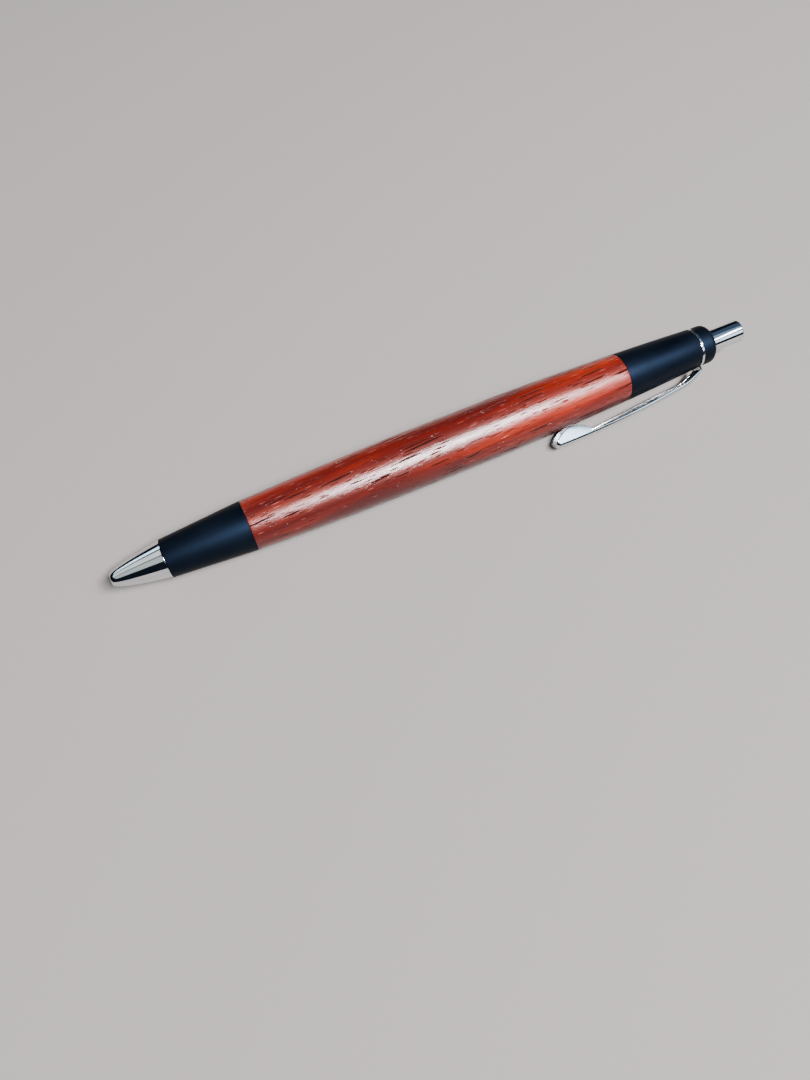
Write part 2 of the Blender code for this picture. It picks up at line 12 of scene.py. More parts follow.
import bmesh
import bpy
import numpy as np
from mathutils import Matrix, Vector


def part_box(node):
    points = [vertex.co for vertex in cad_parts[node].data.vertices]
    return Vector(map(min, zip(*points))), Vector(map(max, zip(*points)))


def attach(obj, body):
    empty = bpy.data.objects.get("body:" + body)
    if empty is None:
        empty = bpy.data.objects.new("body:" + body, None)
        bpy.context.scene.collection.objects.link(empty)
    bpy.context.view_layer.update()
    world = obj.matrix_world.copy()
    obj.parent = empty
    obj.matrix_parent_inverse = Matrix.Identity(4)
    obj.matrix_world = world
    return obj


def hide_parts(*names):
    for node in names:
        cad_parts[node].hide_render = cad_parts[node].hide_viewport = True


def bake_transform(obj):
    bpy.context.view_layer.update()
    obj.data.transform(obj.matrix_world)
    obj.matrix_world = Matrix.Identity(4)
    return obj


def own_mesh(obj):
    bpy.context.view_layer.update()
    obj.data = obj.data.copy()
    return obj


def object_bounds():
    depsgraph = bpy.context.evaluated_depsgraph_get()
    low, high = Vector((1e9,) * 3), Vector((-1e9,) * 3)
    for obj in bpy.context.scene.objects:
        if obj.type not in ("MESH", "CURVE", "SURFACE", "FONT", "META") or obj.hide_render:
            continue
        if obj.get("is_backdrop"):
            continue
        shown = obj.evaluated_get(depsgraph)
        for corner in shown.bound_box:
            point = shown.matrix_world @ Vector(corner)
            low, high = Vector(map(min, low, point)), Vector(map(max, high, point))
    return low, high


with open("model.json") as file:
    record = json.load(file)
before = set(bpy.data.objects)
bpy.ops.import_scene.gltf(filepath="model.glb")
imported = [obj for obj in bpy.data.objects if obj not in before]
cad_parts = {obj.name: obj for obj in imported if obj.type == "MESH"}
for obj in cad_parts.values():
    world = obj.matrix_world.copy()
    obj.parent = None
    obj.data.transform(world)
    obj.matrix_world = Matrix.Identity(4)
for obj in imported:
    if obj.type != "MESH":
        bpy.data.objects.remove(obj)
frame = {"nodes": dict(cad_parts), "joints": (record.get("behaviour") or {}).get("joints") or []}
cad_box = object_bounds()
print("nodes in the frame:", len(frame["nodes"]))

# %% [markdown]
# ## Measuring along the pen
# The pen lies along X, with its tip towards -X. It is easiest to think of it as a lathe does: a station is
# a distance from the tip, and a reach is a distance from the axis, both in millimetres. The axis is read
# from the push button, which is a plain cylinder, and the tip from the front of the nose.

# %% The pen's axis, and where a node starts and ends along it
MM = 0.001
TIP_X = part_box("nose_cone")[0].x
AXIS = (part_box("push_button")[0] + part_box("push_button")[1]) / 2
PEN_END = (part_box("push_button")[1].x - TIP_X) / MM


def span(node):
    """The stations at which a node starts and ends, and its outer radius, which is half its height."""
    low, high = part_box(node)
    return (low.x - TIP_X) / MM, (high.x - TIP_X) / MM, (high.z - low.z) / 2 / MM


def spot(station, reach=0.0, direction=(0.0, 0.0, 1.0)):
    """A point in the frame, in metres: so far along the pen, and so far out from its axis in a
    direction."""
    return Vector((TIP_X + station * MM, AXIS.y, AXIS.z)) + Vector(direction) * reach * MM


print("length %.1f mm, axis at y %.2f z %.2f mm" % (PEN_END, AXIS.y / MM, AXIS.z / MM))

# %% [markdown]
# ## From a grid of points to a mesh
# Every new surface here is a grid: rows along the piece and columns around it. Neighbouring rows and
# columns are joined by quads. A turned piece repeats its first column after its last, and a hollow one its
# first row after its last, which closes the surface. Where a whole row lies on the axis its points are
# merged, so that the pole is closed too.

# %% Turn a grid into a closed, smooth mesh
SHARP = math.radians(34)


def grid_quads(rows, columns, close_rows, close_columns):
    """Quads between neighbouring points. Point (row, column) has the number row * columns + column."""
    row, column = np.meshgrid(
        np.arange(rows if close_rows else rows - 1),
        np.arange(columns if close_columns else columns - 1),
        indexing="ij",
    )
    below, beside = (row + 1) % rows, (column + 1) % columns
    here, next_row = row * columns, below * columns
    corners = [here + column, here + beside, next_row + beside, next_row + column]
    return np.stack(corners, axis=-1).reshape(-1, 4)


def make_piece(name, points, quads):
    """A mesh object at the origin from points in metres. Points that coincide are merged and flat faces
    dropped."""
    mesh = bpy.data.meshes.new(name)
    mesh.from_pydata(np.asarray(points, float).reshape(-1, 3).tolist(), [], np.asarray(quads).tolist())
    shape = bmesh.new()
    shape.from_mesh(mesh)
    bmesh.ops.remove_doubles(shape, verts=shape.verts, dist=2e-7)
    bmesh.ops.dissolve_degenerate(shape, edges=shape.edges, dist=1e-8)
    shape.to_mesh(mesh)
    shape.free()
    mesh.shade_smooth()
    mesh.set_sharp_from_angle(angle=SHARP)
    piece = bpy.data.objects.new(name, mesh)
    bpy.context.scene.collection.objects.link(piece)
    print(f"{name}: {len(mesh.polygons)} faces")
    return piece


# %% [markdown]
# ## Turned pieces
# Most of a pen is made on a lathe, so most of it is a profile carried round the axis. A real turned edge is
# never quite sharp: a cutter or a polishing wheel breaks it, and the small round that is left catches the
# light as a thin bright line. So each outline is softened before it is turned.

# %% Soften an outline, and turn it
def soften(outline, radius, closed=True, steps=4):
    """Rounds each corner C by the curve (1-t)^2 A + 2t(1-t) C + t^2 B, where A and B lie the radius away
    from the corner on its two edges, and never past 0.45 of an edge. Each corner may have a radius of its
    own."""
    corner = np.asarray(outline, float)
    ahead, back = np.roll(corner, -1, axis=0) - corner, np.roll(corner, 1, axis=0) - corner
    lengths = [np.maximum(np.linalg.norm(edge, axis=1), 1e-9) for edge in (ahead, back)]
    reach = [np.minimum(radius, 0.45 * length) / length for length in lengths]
    after = (corner + ahead * reach[0][:, None])[:, None]
    before = (corner + back * reach[1][:, None])[:, None]
    t = np.linspace(0, 1, steps + 1)[None, :, None]
    arcs = (1 - t) ** 2 * before + 2 * t * (1 - t) * corner[:, None] + t**2 * after
    if not closed:
        arcs[0], arcs[-1] = corner[0], corner[-1]
    points = arcs.reshape(-1, 2)
    apart = np.linalg.norm(points - np.roll(points, 1, axis=0), axis=1) > 1e-7
    apart[0] = True
    return points[apart]


def turned(name, profile, columns, closed=True):
    """Carries a profile of (station, radius) round the pen's axis: x = station, y = radius * cos a, z =
    radius * sin a. The profile runs back along the outside and forward along the bore."""
    profile = np.asarray(profile, float)
    angle = np.arange(columns) * 2 * np.pi / columns
    station, radius = np.broadcast_arrays(profile[:, :1], profile[:, 1:] + 0 * angle[None])
    points = np.stack([station, radius * np.cos(angle), radius * np.sin(angle)], axis=-1) * MM
    points += np.array([TIP_X, AXIS.y, AXIS.z])
    return make_piece(name, points, grid_quads(len(profile), columns, closed, True))


def finish_piece(piece, body, material, slot, *nodes):
    """Gives a piece its material, hangs it on the body that it rides on, and hides the nodes that it stands
    for.
    """
    piece.data.materials.clear()
    piece.data.materials.append(material)
    if body:
        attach(piece, body)
    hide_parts(*nodes)
    return piece


# %% [markdown]
# ## Writing materials as nodes
# Colours are written the way a paint shop would note them, as sRGB hex values. A renderer works with linear
# light, so one function converts them. One more function adds a node: its settings are given by name, each
# of its inputs is either a plain value or the output of another node, and it hands back an output for the
# next node to use. Patterns are placed in the pen's own space and scaled by real sizes in millimetres, so a
# scratch is as large as a scratch is.

# %% Colour and node helpers
def linear(hex_colour):
    """sRGB hex to linear RGBA: c / 12.92 near black, and ((c + 0.055) / 1.055) ^ 2.4 above."""
    channels = np.array([int(hex_colour[i : i + 2], 16) / 255 for i in (1, 3, 5)])
    low, high = channels / 12.92, ((channels + 0.055) / 1.055) ** 2.4
    return (*np.where(channels <= 0.04045, low, high).tolist(), 1.0)


def add(tree, kind, inputs=(), out=0, **settings):
    """Adds a node of a kind and returns one of its outputs. An input that is a socket is linked, any other
    is set."""
    node = tree.nodes.new("ShaderNode" + kind)
    for name, value in settings.items():
        setattr(node, name, value)
    for name, value in dict(inputs).items():
        if isinstance(value, bpy.types.NodeSocket):
            tree.links.new(value, node.inputs[name])
        else:
            node.inputs[name].default_value = value
    return node.outputs[out]


def new_material(name, **values):
    """A material with one Principled shader. Values that are the same all over are set on its own
    sockets."""
    material = bpy.data.materials.new(name)
    material.use_nodes = True
    shader = material.node_tree.nodes["Principled BSDF"]
    for socket, value in values.items():
        shader.inputs[socket.replace("_", " ")].default_value = value
    print("finish:", name)
    return material, material.node_tree, shader


def drive(tree, shader, **outputs):
    """Links an output to each of the shader's sockets that changes over the surface."""
    for socket, output in outputs.items():
        tree.links.new(output, shader.inputs[socket.replace("_", " ")])


# %% Patterns in millimetres
NOISE = {"Scale": 1.0, "Detail": 3.0, "Roughness": 0.55}
MIDDLE = {"From Min": 0.35, "From Max": 0.65}  # nearly all of a noise lies here, and MapRange holds the rest


def grain(tree, along, across, turn=0.0):
    """Where a point lies in a pattern: its place less the axis's, turned back about Z by the grain's angle,
    and divided by the pattern's size in millimetres along the pen and across it."""
    inputs = {
        "Vector": add(tree, "TexCoord", out="Object"),
        "Location": (0, AXIS.y, AXIS.z),
        "Rotation": (0, 0, turn),
        "Scale": (along * MM, across * MM, across * MM),
    }
    return add(tree, "Mapping", inputs, vector_type="TEXTURE")


print("a noise's middle stretch:", tuple(MIDDLE.values()))

# %% [markdown]
# ## The wood
# The sleeve is a red hardwood, most like padauk. Vessels run through it lengthways, and turning cuts them
# open as dark dashes, some millimetres to a centimetre and a half long and one to two tenths of a millimetre
# wide. The wood between them changes slowly from deep crimson to orange. On top of that, painted light and
# shade make it lighter and more orange towards the top and the far side, and darker towards the lower side,
# as the light falls. It is sanded, sealed and lacquered. The lacquer bridges the wood but sinks into the open
# vessels, so each dash is dull and a little sunk in a glossy surface. A pattern in space is right for this,
# rather than one wrapped around the sleeve, because turning cuts through the blank on every side. The grain
# runs a few degrees off the axis, as the blank was never sawn quite true.

# %% Open vessels
GRAIN_TURN = math.radians(3.5)


def vessels(tree, length, width, gap, crowd, sparse, dense):
    """A mask of dashes shaped like vessels, for the open vessels and for the painted glints on their edges:
    ellipsoids about seed points, in a space that is squeezed by the dashes' length along the grain and by the
    gap between them across it. A point is inside where its distance to a seed is less than width / gap, times
    sparse to dense as the crowd value rises. The mask goes from 0 to 1 over a fifth of a dash's width, and a
    small noise makes its edge jagged."""
    edge = add(tree, "TexNoise", {**NOISE, "Vector": grain(tree, 1.3, 0.4, GRAIN_TURN), "Detail": 2.0})
    place = grain(tree, length, gap, GRAIN_TURN)
    jagged = add(tree, "VectorMath", {0: edge, 1: (0.0, 0.3, 0.3), 2: place}, operation="MULTIPLY_ADD")
    distance = add(tree, "TexVoronoi", {"Vector": jagged, "Scale": 1.0, "Randomness": 1.0}, feature="F1")
    sizes = {"Value": crowd, "To Min": sparse * width / gap, "To Max": dense * width / gap}
    size = add(tree, "MapRange", {**MIDDLE, **sizes})
    inside = add(tree, "Math", {0: size, 1: distance}, operation="SUBTRACT")
    return add(tree, "Math", {0: inside, 1: 5.0 * gap / width}, operation="MULTIPLY", use_clamp=True)


# %% The wood between them
REDS = ((0.40, "#290305"), (0.50, "#3f0704"), (0.60, "#621204"), (0.72, "#882606"))


def padauk_tone(tree, painted_top_light, fibres):
    """The tone is 3/4 of a slow noise, 1/4 of a quick one, and a gradient of painted light and shade that
    brightens it towards the lit top and far side and darkens the lower side. A ramp of four reds colours it,
    and fibres darken it by up to a third."""
    slow = add(tree, "TexNoise", {**NOISE, "Vector": grain(tree, 60.0, 4.0, GRAIN_TURN)})
    fine_grain = {"Vector": grain(tree, 30.0, 0.8, GRAIN_TURN), "Detail": 5.0, "Roughness": 0.6}
    quick = add(tree, "TexNoise", {**NOISE, **fine_grain})
    # Painted light and shade: the top light gradient is added to the tone before the ramp, so the top turns
    # orange and the lower side crimson.
    part = add(tree, "Math", {0: quick, 1: 0.25, 2: painted_top_light}, operation="MULTIPLY_ADD")
    toned = add(tree, "Math", {0: slow, 1: 0.75, 2: part}, operation="MULTIPLY_ADD")
    tone = add(tree, "ValToRGB", {"Fac": toned})
    ramp = tone.node.color_ramp
    for element, (position, colour) in zip((*ramp.elements, None, None), REDS):
        element = element or ramp.elements.new(position)
        element.position, element.color = position, linear(colour)
    share = add(tree, "Math", {0: fibres, 1: 0.35}, operation="MULTIPLY")
    return add(tree, "Mix", {0: share, 6: tone, 7: linear("#350504")}, out=2, data_type="RGBA")


# %% Lacquered padauk
def make_padauk():
    """Padauk, turned, sanded and lacquered: a deep red with dark dashes under a clear gloss. The layers are
    the wood's tone, fine pale dashes that are painted glints of light on the vessels' edges, short dark
    vessels and long dark ones. Where a vessel is open, the lacquer's coat and its gloss go and the surface
    sinks. The fibres are finer than a tenth of a millimetre in the real wood, and are drawn at 0.13 mm, so
    that they show."""
    material, tree, shader = new_material(
        "lacquered_padauk", Coat_Roughness=0.21, Coat_IOR=1.4, Specular_IOR_Level=0.4,
        Specular_Tint=linear("#ff9c84"),
    )
    # Painted light and shade: a gradient that lightens the wood towards the top and the far side and darkens
    # it towards the lower side. It also crowds the vessels towards the top.
    slope = {0: grain(tree, 80.0, 5.8), 1: (0.01, 0.045, 0.07)}  # most towards the top, hardly along the pen
    painted_top_light = add(tree, "VectorMath", slope, out="Value", operation="DOT_PRODUCT")
    strands = {"Vector": grain(tree, 6.0, 0.13, GRAIN_TURN), "Roughness": 0.6}
    fibres = add(tree, "MapRange", {**MIDDLE, "Value": add(tree, "TexNoise", {**NOISE, **strands})})
    patches = add(tree, "TexNoise", {**NOISE, "Vector": grain(tree, 24.0, 3.0, GRAIN_TURN), "Detail": 2.0})
    crowd = add(tree, "Math", {0: painted_top_light, 1: 1.2, 2: patches}, operation="MULTIPLY_ADD")
    # Painted glints: fine pale pinkish dashes that stand in for light caught on the edges of vessels. They
    # change only the colour.
    pale = vessels(tree, 10.0, 0.06, 0.52, crowd, 0.9, 1.1)
    fine = vessels(tree, 4.5, 0.09, 0.40, crowd, 0.8, 1.3)
    large = vessels(tree, 18.0, 0.14, 0.66, crowd, 0.85, 1.35)
    colour = padauk_tone(tree, painted_top_light, fibres)
    # The first layer paints the glints in. The other two are the dark open vessels.
    for mask, strength, tint in ((pale, 0.22, "#c87c70"), (fine, 0.65, "#2a0706"), (large, 0.98, "#080202")):
        share = add(tree, "Math", {0: mask, 1: strength}, operation="MULTIPLY")
        colour = add(tree, "Mix", {0: share, 6: colour, 7: linear(tint)}, out=2, data_type="RGBA")
    opened = add(tree, "Math", {0: large, 1: fine}, operation="MAXIMUM")
    dull = add(tree, "MapRange", {"Value": opened, "To Min": 0.48, "To Max": 1.0})
    coat = add(tree, "Math", {0: opened, 1: -0.9, 2: 0.9}, operation="MULTIPLY_ADD")
    sunk = add(tree, "Math", {0: opened, 1: -1.0, 2: 1.0}, operation="MULTIPLY_ADD")
    height = add(tree, "Math", {0: fibres, 1: 0.2, 2: sunk}, operation="MULTIPLY_ADD")
    relief = add(tree, "Bump", {"Height": height, "Strength": 1.0, "Distance": 0.045 * MM})
    drive(tree, shader, Base_Color=colour, Roughness=dull, Coat_Weight=coat)
    drive(tree, shader, Normal=relief, Coat_Normal=relief)
    return material


PADAUK = make_padauk()

# %% [markdown]
# ## Lacquer, plating, metal and plastic
# All of the pen's other finishes vary in the same way. Handling leaves patches with a slightly different
# colour and gloss, and the way a surface was made leaves marks: the peel of a sprayed lacquer, the rings of
# a turning tool, the scratches of a drawing die, the texture of a mould. One function can make them all
# from the two sizes, the two colours and the two roughnesses. Without the patches and the marks, chrome
# looks like a computer's mirror.

# %% A surface with patches and marks
def handled(name, colours, roughness, patches, marks, depth_mm, patch_noise=(), mark_detail=2.0, **values):
    """A noise of patches mixes two colours and two roughnesses, and a noise of marks is a relief of a depth
    in millimetres. The patches and the marks are given by their size along the pen and across it."""
    material, tree, shader = new_material(name, **values)
    cloud = add(tree, "TexNoise", {**NOISE, "Vector": grain(tree, *patches), **dict(patch_noise)})
    share = add(tree, "MapRange", {**MIDDLE, "Value": cloud})
    light, dark = [linear(colour) for colour in colours]
    base = add(tree, "Mix", {0: share, 6: light, 7: dark}, out=2, data_type="RGBA")
    gloss = add(tree, "MapRange", {**MIDDLE, "Value": cloud, "To Min": roughness[0], "To Max": roughness[1]})
    height = add(tree, "TexNoise", {**NOISE, "Vector": grain(tree, *marks), "Detail": mark_detail})
    relief = add(tree, "Bump", {"Height": height, "Strength": 1.0, "Distance": depth_mm * MM})
    drive(tree, shader, Base_Color=base, Roughness=gloss, Normal=relief)
    return material


# %% [markdown]
# ## Satin black lacquer
# The two black pieces and the end cap are brass, sprayed with a satin black lacquer and baked. The eye sees
# a deep blue-black with one broad soft band of light. Its orange peel is about a tenth of a millimetre in
# size and only a few thousandths deep. It is drawn at 0.22 mm, as a finer one wouldn't show.

# %% Satin black lacquer
BLACK = handled(
    "satin_black_lacquer", ("#010204", "#030508"), (0.47, 0.53), patches=(9.0, 4.0), marks=(0.22, 0.22),
    depth_mm=0.004, mark_detail=1.0, Specular_Tint=linear("#8ab6f2"), Specular_IOR_Level=0.115,
)

# %% [markdown]
# ## Chrome plating
# Nose and button are turned brass, polished and then plated with nickel and chromium. Chrome has almost no
# colour of its own, so what the eye sees is the room in it, dulled in patches by a film of fingermarks.
# Polishing marks are about a hundredth of a millimetre apart, and are drawn at 0.14 mm along the pen, so
# that they show. The clip is plated sheet steel, and a stamped sheet keeps a slight wave of about a
# millimetre, which makes its mirror image tremble.

# %% Chrome plating
FINGERMARKS = {
    "colours": ("#e6e9ea", "#d5d9dc"), "patches": (5.0, 2.2), "depth_mm": 0.0006,
    "patch_noise": {"Detail": 4.0, "Roughness": 0.6}, "Metallic": 1.0,
}
CHROME = handled("polished_chrome", roughness=(0.05, 0.095), marks=(0.14, 6.0), **FINGERMARKS)
CLIP_CHROME = handled("stamped_chrome", roughness=(0.06, 0.114), marks=(1.2, 6.0), **FINGERMARKS)

# %% [markdown]
# ## Brass, steel and carbide
# The sleeve's liner and bushes are free-cutting brass, turned: warm yellow, with the rings that the tool's
# feed of 0.12 mm left. The spring is drawn stainless wire, with scratches that run lengthways. They are
# finer than a hundredth of a millimetre in real wire, and are drawn at 0.08 mm. The point is turned
# stainless steel with a feed of 0.09 mm. The ball is sintered tungsten carbide, ground and polished to a
# grey mirror. Its grain is a thousandth of a millimetre, and is drawn at 0.05 mm and hardly deep at all.

# %% Brass, steel and carbide
BARE = {"patches": (3.0, 1.5), "patch_noise": {"Detail": 4.0}, "Metallic": 1.0}
BRASS = handled(
    "turned_brass", ("#d9b36a", "#b98f48"), (0.22, 0.33), marks=(0.12, 8.0), depth_mm=0.003, **BARE)
STEEL = handled(
    "drawn_stainless_steel", ("#c9c9c7", "#a9aaa9"), (0.20, 0.30), marks=(1.5, 0.08), depth_mm=0.002, **BARE)
POINT_STEEL = handled(
    "turned_stainless_steel", ("#c4c5c6", "#a4a6a8"), (0.16, 0.24), marks=(0.09, 4.0), depth_mm=0.0015,
    **BARE)
CARBIDE = handled(
    "polished_carbide", ("#9a9da1", "#85888c"), (0.07, 0.105), marks=(0.05, 0.05), depth_mm=0.0004, **BARE)

# %% [markdown]
# ## Plastics, ink and grease
# The cams are moulded acetal, waxy and half dull. The point's holder and the refill's plug are moulded
# white polypropylene, and the refill's tube is clear polypropylene, extruded, which light passes into. All
# take a faint swirl from the way the melt flowed. A mould's texture is a few hundredths of a millimetre,
# and is drawn at 0.12 mm. The ink and the grease behind it are liquids with a smooth skin, the ink as good
# as opaque.

# %% Plastics, ink and grease
FLOWED = {
    "patches": (4.0, 1.2), "patch_noise": {"Distortion": 0.8},
    "marks": (0.12, 0.12), "mark_detail": 1.0,
}
ACETAL = handled("moulded_acetal", ("#b9bbbd", "#a9acaf"), (0.36, 0.45), depth_mm=0.002, **FLOWED)
WHITE = handled("moulded_polypropylene", ("#e4e3de", "#d6d5cf"), (0.32, 0.40), depth_mm=0.002, **FLOWED)
CLEAR = handled(
    "extruded_clear_polypropylene", ("#e6ebee", "#d3dade"), (0.18, 0.225), depth_mm=0.002,
    Transmission_Weight=0.75, IOR=1.49, **FLOWED,
)
INK = handled("black_ink", ("#050507", "#0a0a12"), (0.10, 0.125), depth_mm=0.0002, **FLOWED)
GREASE = handled(
    "clear_grease", ("#d8cfa8", "#c9bf96"), (0.15, 0.1875), depth_mm=0.002,
    Transmission_Weight=0.5, IOR=1.47, **FLOWED,
)

# %% [markdown]
# ## The nose
# The nose is a bullet shape: it swells fast behind its mouth and then ever more slowly, as a power of the
# station below one does. Behind it is the threaded spigot that holds it in the collar. A thread is a relief
# on a cylinder: the ridge's height is a triangle wave of the station, shifted by one pitch for each turn
# about the axis.

# %% Nose with its thread
NOSE_END = span("front_collar")[0] - 0.05
NOSE_BASE = span("nose_cone")[2]
MOUTH = 1.02
SPIGOT_END = span("nose_cone")[1]
SPIGOT_BORE, SPRING_BORE, POINT_BORE = 2.35, 1.35, 0.78
THREAD_ROOT, THREAD_DEPTH, THREAD_PITCH = 2.72, 0.26, 0.75


def thread_relief(station, angle):
    """A triangle wave of station / pitch - angle / 2 pi, on the spigot only, that fades in at both of its
    ends."""
    phase = (station / THREAD_PITCH - angle / (2 * np.pi)) % 1.0
    ridge = np.clip(1.15 - 3.0 * np.abs(phase - 0.5), 0, 1) * THREAD_DEPTH
    rising = np.clip((station - NOSE_END - 1.1) / 0.5, 0, 1)
    return ridge * rising * np.clip((SPIGOT_END - 0.15 - station) / 0.5, 0, 1)


def make_nose():
    """The outer curve is radius = mouth + (base - mouth) * share ^ 0.62, with share the station over the
    nose's length. A step, the plain spigot, the bore with its two steps and the round lip of the mouth
    follow."""
    share = np.linspace(0.13, 1, 60) ** 1.7
    ogive = np.stack([NOSE_END * share, MOUTH + (NOSE_BASE - MOUTH) * share**0.62], axis=1)
    step = [(NOSE_END - 0.3, NOSE_BASE), (NOSE_END, NOSE_BASE), (NOSE_END, THREAD_ROOT)]
    base = soften(step, 0.07, closed=False)
    rows = np.linspace(NOSE_END + 0.05, SPIGOT_END - 0.05, 130)
    spigot = np.stack([rows, np.full(130, THREAD_ROOT)], axis=1)
    bore = [(SPIGOT_END, THREAD_ROOT - 0.05), (SPIGOT_END, SPIGOT_BORE), (6.0, SPIGOT_BORE)]
    bore += [(6.0, SPRING_BORE), (3.2, SPRING_BORE), (2.0, POINT_BORE)]
    lip = [(0.12, POINT_BORE), (0.0, 0.86), (0.0, 0.98), (0.02, 1.08), (0.07, 1.16)]
    profile = np.vstack([ogive[:-1], base[1:], spigot, soften(bore, 0.04, closed=False), lip])
    return turned("bright_nose", profile, 144)


def add_thread(piece):
    """Lifts the spigot's outer points by the thread's relief, all of them at once."""
    points = np.empty(len(piece.data.vertices) * 3, np.float32)
    piece.data.vertices.foreach_get("co", points)
    points = points.reshape(-1, 3).astype(float)
    side = points[:, 1:] - np.array([AXIS.y, AXIS.z])
    station, radius = (points[:, 0] - TIP_X) / MM, np.linalg.norm(side, axis=1) / MM
    angle = np.arctan2(side[:, 1], side[:, 0]) % (2 * np.pi)
    on_root = np.abs(radius - THREAD_ROOT) < 0.02
    lifted = np.where(on_root, thread_relief(station, angle), 0) / np.maximum(radius, 1e-6)
    points[:, 1:] += side * lifted[:, None]
    piece.data.vertices.foreach_set("co", points.astype(np.float32).ravel())
    piece.data.update()
    return piece


nose = add_thread(make_nose())
finish_piece(nose, "nose", CHROME, "chrome_plating", "nose_cone")

# %% [markdown]
# ## Collar, sleeve, rear shell and end cap
# These four make the pen's outline. The collar is a straight cone, and the rear shell is two cones with a
# soft bend between them. The sleeve bulges: straight over its middle, and falling away to both ends as a
# power of the distance from there. The joints are tight butts, and each black edge is broken by a small
# round.

# %% The pen's outline
COLLAR_FRONT_RADIUS = 3.77
SLEEVE_STRAIGHT = (63.0, 79.0)
collar_front, collar_rear, collar_radius = span("front_collar")
sleeve_front, sleeve_rear, sleeve_radius = span("wood_sleeve")
shell_front, shell_rear, shell_radius = span("rear_shell")
cap_front, cap_rear, cap_radius = span("end_cap")
SLEEVE_FRONT_RADIUS, SLEEVE_REAR_RADIUS = collar_radius, shell_radius + 0.015
SPIGOT_HOLE, BUSH_HOLE, GUIDE_HOLE, LINER_HOLE = 3.06, 3.35, 3.4, 4.0
print("radii: collar %.2f, sleeve %.2f, shell %.2f mm" % (collar_radius, sleeve_radius, shell_radius))


# %% Front collar and wooden sleeve
def make_collar():
    """A cone outside. Its bore goes over the front bush, over a shoulder and over the nose's spigot."""
    outer = [(collar_front, SPIGOT_HOLE), (collar_front, COLLAR_FRONT_RADIUS), (collar_rear, collar_radius)]
    bore = [(collar_rear, BUSH_HOLE), (19.8, BUSH_HOLE), (19.8, 2.65), (17.0, 2.65), (17.0, SPIGOT_HOLE)]
    return turned("black_collar", soften(outer + bore, 0.09), 144)


def make_sleeve():
    """The radius falls from the straight middle by (share of the way to the front) ^ 1.8 and (to the rear)
    ^ 1.5, down to the radii of the black pieces. The bore is plain."""
    station = np.linspace(sleeve_front, sleeve_rear, 120)
    ahead = np.clip((SLEEVE_STRAIGHT[0] - station) / (SLEEVE_STRAIGHT[0] - sleeve_front), 0, 1) ** 1.8
    behind = np.clip((station - SLEEVE_STRAIGHT[1]) / (sleeve_rear - SLEEVE_STRAIGHT[1]), 0, 1) ** 1.5
    fall = (sleeve_radius - SLEEVE_FRONT_RADIUS) * ahead + (sleeve_radius - SLEEVE_REAR_RADIUS) * behind
    outer = np.stack([station, sleeve_radius - fall], axis=1)
    ends = np.zeros(len(outer) + 2)
    ends[[0, len(outer) - 1]] = 0.05
    outline = np.vstack([outer, [(sleeve_rear, LINER_HOLE), (sleeve_front, LINER_HOLE)]])
    return turned("wooden_sleeve", soften(outline, ends), 160)


finish_piece(make_collar(), "barrel", BLACK, "black_lacquer", "front_collar")
finish_piece(make_sleeve(), "barrel", PADAUK, "stained_wood", "wood_sleeve")


# %% Rear shell and end cap
CAP_SHOULDER = span("clip_ring")[1] + 0.05
CAP_ROUND = 1.15


def make_shell():
    """Two cones, with a bend so soft between them that it reads as a curve. The bore goes over the click
    mechanism."""
    outer = [(shell_front, 4.05), (shell_front, shell_radius), (116.2, 4.63), (shell_rear, 4.14)]
    bore = [(shell_rear, GUIDE_HOLE), (112.6, GUIDE_HOLE), (112.6, 4.05)]
    return turned("black_rear_shell", soften(outer + bore, [0.05, 0.09, 6, 0.09, 0.05, 0, 0]), 144)


def make_cap():
    """The cap's outer edge is a quarter circle: radius = face + r * cos a, station = end - r * (1 - sin a).
    Ahead of its shoulder is the spigot that the clip's ring sits on."""
    angle = np.linspace(0, np.pi / 2, 14)
    station = cap_rear - CAP_ROUND * (1 - np.sin(angle))
    edge = np.stack([station, cap_radius - CAP_ROUND * (1 - np.cos(angle))], axis=1)
    front = [(cap_front, 2.5), (cap_front, 3.35), (CAP_SHOULDER, 3.35), (CAP_SHOULDER, cap_radius)]
    front = soften(front + [(cap_rear - 1.2, cap_radius)], 0.07, closed=False)
    rear = soften([(cap_rear, cap_radius - CAP_ROUND), (cap_rear, 2.5), (cap_front, 2.5)], 0.1, closed=False)
    return turned("black_end_cap", np.vstack([front, edge, rear[1:-1]]), 144)


finish_piece(make_shell(), "barrel", BLACK, "black_lacquer", "rear_shell")
finish_piece(make_cap(), "barrel", BLACK, "black_lacquer", "end_cap")

# %% [markdown]
# ## The push button
# A plated tube, closed at its end. It is the one piece that a thumb polishes, so its end edge has a larger
# round.

# %% Push button
button_front, button_rear, button_radius = span("push_button")
BORE_END, BORE_RADIUS = 134.5, 1.7


def make_button():
    """A tube with one closed end: from the axis out to the bore, forward along it to the open front, and
    back along the outside. Each corner has a round of its own."""
    outline = [(BORE_END, 0.0), (BORE_END, BORE_RADIUS), (button_front, BORE_RADIUS)]
    outline += [(button_front, button_radius), (button_rear, button_radius), (button_rear, 0.0)]
    profile = soften(outline, [0, 0.05, 0.1, 0.1, 0.36, 0], closed=False, steps=7)
    return turned("bright_button", profile, 96, closed=False)


finish_piece(make_button(), "plunger", CHROME, "chrome_plating", "push_button")

# %% [markdown]
# ## The clip
# The clip is stamped from one sheet: a ring that the end cap clamps, a neck bent over at the ring, and an
# arm whose sides are folded in, so that it is a U-shaped channel. Near its free end the sides widen into
# two ears that press on the pen. It is modelled as a section carried along a line. The line lies in one
# plane with the pen's axis, and the section is a U whose depth changes along the line.

